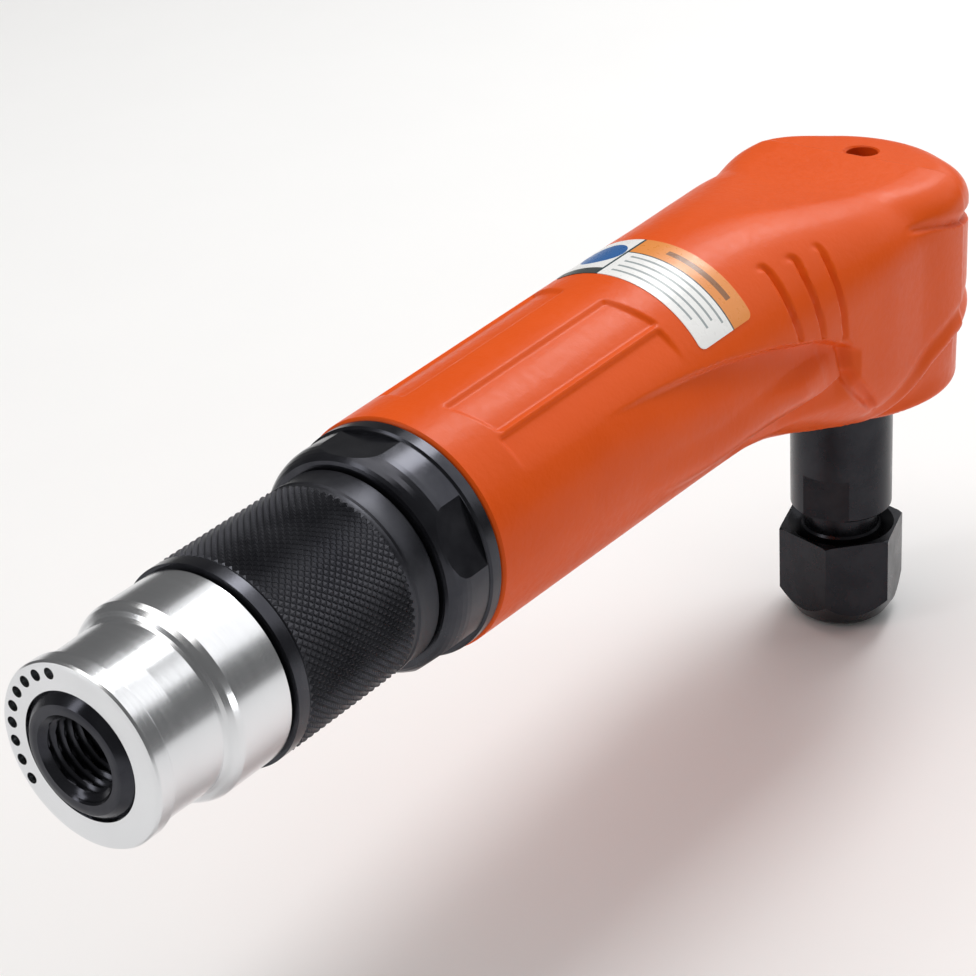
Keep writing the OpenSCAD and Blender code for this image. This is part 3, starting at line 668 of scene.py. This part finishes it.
def black_oxide(name, rough, tone, lines=(1, 1, 1)):
    """Blackened steel with fine lines; lines stretches them along the turning axis."""
    m, nt, b, co = new_mat(name, (tone, tone, tone * 1.15), 0.85, rough, Specular_IOR_Level=0.5)
    fine = noise(nt, stretched(nt, co, lines), 900, 2, 0.6)
    smut = noise(nt, co.outputs["Object"], 160, 4, 0.6)
    tint(nt, b, remap(nt, smut, 0, 1), (tone * 0.75, tone * 0.77, tone * 0.95),
         (tone * 1.35, tone * 1.38, tone * 1.6))
    nt.links.new(remap(nt, smut, rough - 0.05, rough + 0.09), b.inputs["Roughness"])
    bumps(nt, b, [(fine, 0.12, 0.00003)])
    return m


def turned_metal(name, color, rough, lines, strength=0.2):
    """Bright metal with fine lathe lines round the axis that lines stretches along."""
    m, nt, b, co = new_mat(name, color, 1.0, rough)
    fine = noise(nt, stretched(nt, co, lines), 1500, 3, 0.65)
    soft = noise(nt, co.outputs["Object"], 120, 3)
    tint(nt, b, remap(nt, soft, 0, 1), tuple(c * 0.94 for c in color), color)
    nt.links.new(remap(nt, fine, rough - 0.03, rough + 0.05), b.inputs["Roughness"])
    bumps(nt, b, [(fine, strength, 0.00001)])
    return m


def plain(name, color, metallic, rough, scale=400, strength=0.2):
    """Mottled surface for the inner pieces."""
    m, nt, b, co = new_mat(name, color, metallic, rough)
    mottle = noise(nt, co.outputs["Object"], scale, 4, 0.6)
    dark, light = tuple(c * 0.78 for c in color), tuple(min(1, c * 1.15) for c in color)
    tint(nt, b, remap(nt, mottle, 0, 1), dark, light)
    nt.links.new(remap(nt, mottle, rough - 0.06, rough + 0.08), b.inputs["Roughness"])
    bumps(nt, b, [(mottle, strength, 0.00004)])
    return m


def label_mat():
    """Blank generic sticker: white field, orange band, plain blue spot and grey rules, no lettering."""
    m, nt, b, co = new_mat("label_print", (0.86, 0.86, 0.85), 0.0, 0.3)
    sep = nt.nodes.new("ShaderNodeSeparateXYZ")
    nt.links.new(co.outputs["UV"], sep.inputs[0])
    u, v = sep.outputs["X"], sep.outputs["Y"]

    def op(kind, a, c):
        n = nt.nodes.new("ShaderNodeMath")
        n.operation = kind
        for i, s in enumerate((a, c)):
            if isinstance(s, (int, float)):
                n.inputs[i].default_value = s
            else:
                nt.links.new(s, n.inputs[i])
        return n.outputs[0]

    def between(s, lo, hi):
        return op("MULTIPLY", op("GREATER_THAN", s, lo), op("LESS_THAN", s, hi))

    def box(u0, u1, v0, v1):
        return op("MULTIPLY", between(u, u0, u1), between(v, v0, v1))
    col = None

    def layer(fac, color):
        nonlocal col
        mx = nt.nodes.new("ShaderNodeMix")
        mx.data_type = "RGBA"
        if col is None:
            mx.inputs["A"].default_value = (0.86, 0.86, 0.85, 1)
        else:
            nt.links.new(col, mx.inputs["A"])
        mx.inputs["B"].default_value = (*color, 1)
        nt.links.new(fac, mx.inputs["Factor"])
        col = mx.outputs["Result"]
    ink = (0.02, 0.05, 0.06)
    layer(box(0.28, 1.1, 0.63, 1.1), (0.78, 0.27, 0.05))
    layer(box(0.28, 1.1, 0.615, 0.635), ink)
    layer(box(0.27, 0.285, -0.1, 1.1), ink)
    layer(box(-0.1, 0.27, -0.1, 0.16), (0.05, 0.06, 0.06))
    du = op("MULTIPLY", op("SUBTRACT", u, 0.14), 2.15)
    dv = op("SUBTRACT", v, 0.58)
    r2 = op("ADD", op("MULTIPLY", du, du), op("MULTIPLY", dv, dv))
    layer(op("LESS_THAN", r2, 0.075), (0.02, 0.12, 0.36))
    for k, end in enumerate((0.94, 0.9, 0.92, 0.84)):
        layer(box(0.33, end, 0.50 - 0.125 * k, 0.535 - 0.125 * k), (0.30, 0.34, 0.35))
    layer(box(0.46, 0.86, 0.77, 0.86), (0.25, 0.10, 0.03))
    nt.links.new(col, b.inputs["Base Color"])
    n = noise(nt, co.outputs["Object"], 900)
    nt.links.new(remap(nt, n, 0.24, 0.36), b.inputs["Roughness"])
    bumps(nt, b, [(n, 0.08, 0.00004)])
    return m


def assign(ob, mat):
    ob.data.materials.clear()
    ob.data.materials.append(mat)


def place(ob, mat, slot, *replaced):
    """Gives a finished piece its material and body, in place of the named CAD nodes; slot is not used."""
    assign(ob, mat)
    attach(ob, ob["body"])
    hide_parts(*replaced)


# ---------------------------------------------------------------- build
camera()
oxide_x = black_oxide("oxide_turned_x", 0.2, 0.045, (6, 0.15, 0.15))
oxide_z = black_oxide("oxide_turned_z", 0.26, 0.025, (0.15, 0.15, 6))
oxide_knurl = black_oxide("oxide_knurl", 0.36, 0.04)
steel = turned_metal("ground_steel", (0.56, 0.56, 0.58), 0.28, (1, 1, 1))
mats = {
    "housing_paint": paint(),
    "label": label_mat(),
    "dark_steel": plain("phosphated", (0.035, 0.035, 0.038), 0.6, 0.45),
    "bearing_iron": plain("ground_iron", (0.35, 0.35, 0.36), 0.9, 0.4),
    "steel": steel,
    "gear_steel": plain("hardened_steel", (0.22, 0.23, 0.25), 0.9, 0.38),
    "black_oxide": oxide_x,
    "vane_composite": plain("vane_resin", (0.22, 0.11, 0.05), 0.0, 0.5),
    "seal_rubber": plain("seal_rubber", (0.015, 0.015, 0.016), 0.0, 0.55),
    "screen_brass": plain("screen_brass", (0.6, 0.42, 0.16), 1.0, 0.35),
    "machined_aluminium": turned_metal("turned_aluminium", (0.80, 0.81, 0.83), 0.2, (8, 0.12, 0.12), 0.12),
    "muffler_felt": plain("felt", (0.3, 0.3, 0.28), 0.0, 0.9, 1500, 0.8),
    "cage_brass": plain("cage_brass", (0.6, 0.42, 0.16), 1.0, 0.3),
    "bearing_steel": steel}
slot_of = {s["node"]: s["material_slot"] for s in frame["record"]["subparts"]}
for name, ob in nodes.items():
    assign(ob, mats[slot_of[name]])
for name in ("spindle", "collet_nut"):
    assign(nodes[name], oxide_z)

place(housing_shell(), mats["housing_paint"], "housing_paint", "housing")
place(label_patch(), mats["label"], "label", "label_plate")
place(knurled_sleeve(), oxide_knurl, "black_oxide", "throttle_sleeve")
place(threaded_inlet(), oxide_x, "black_oxide", "inlet_bushing")


# ---------------------------------------------------------------- floor and light
def floor():
    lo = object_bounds()[0]
    me = bpy.data.meshes.new("floor")
    s, z = 6.0, lo[2] - 0.0002
    me.from_pydata([(-s, -s, z), (s, -s, z), (s, s, z), (-s, s, z)], [], [(0, 1, 2, 3)])
    ob = bpy.data.objects.new("floor", me)
    scene.collection.objects.link(ob)
    m, nt, b, co = new_mat("floor_white", (0.9, 0.9, 0.9), 0.0, 0.8)
    tint(nt, b, noise(nt, co.outputs["Object"], 30), (0.89, 0.89, 0.89), (0.91, 0.91, 0.91))
    me.materials.append(m)
    ob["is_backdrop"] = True


def area(name, pos, target, width, power, height, color=(1, 1, 1)):
    """Soft rectangular light at pos, facing the target; width is across, height is upwards."""
    light = bpy.data.lights.new(name, "AREA")
    light.energy = power
    light.color = color
    light.shape = "RECTANGLE"
    light.size = width
    light.size_y = height
    ob = bpy.data.objects.new(name, light)
    scene.collection.objects.link(ob)
    turn = (Vector(target) - Vector(pos)).to_track_quat("-Z", "Y")
    ob.matrix_world = Matrix.Translation(pos) @ turn.to_matrix().to_4x4()


floor()
world = bpy.data.worlds.new("studio")
scene.world = world
world.use_nodes = True
background = world.node_tree.nodes["Background"]
background.inputs["Color"].default_value = (1, 1, 1, 1)
background.inputs["Strength"].default_value = 0.14
area("key_top", (-0.15, 0.15, 0.95), (-0.06, 0, 0.06), 0.9, 5.0, 0.9, (1, 0.98, 0.95))
area("back_soft", (0.70, -0.15, 0.62), (-0.12, 0, 0.06), 1.2, 3.6, 0.8)
area("back_strip", (0.40, 0.04, 0.62), (-0.113, 0, 0.063), 0.2, 2.0, 0.45)
area("strip_left", (-0.62, 0.32, 0.30), (-0.1, 0, 0.06), 0.12, 0.8, 0.6)
area("strip_low", (-0.10, -0.75, 0.10), (-0.04, 0, 0.05), 0.5, 0.8, 0.12)
scene.view_settings.view_transform = "Standard"
scene.view_settings.look = "None"
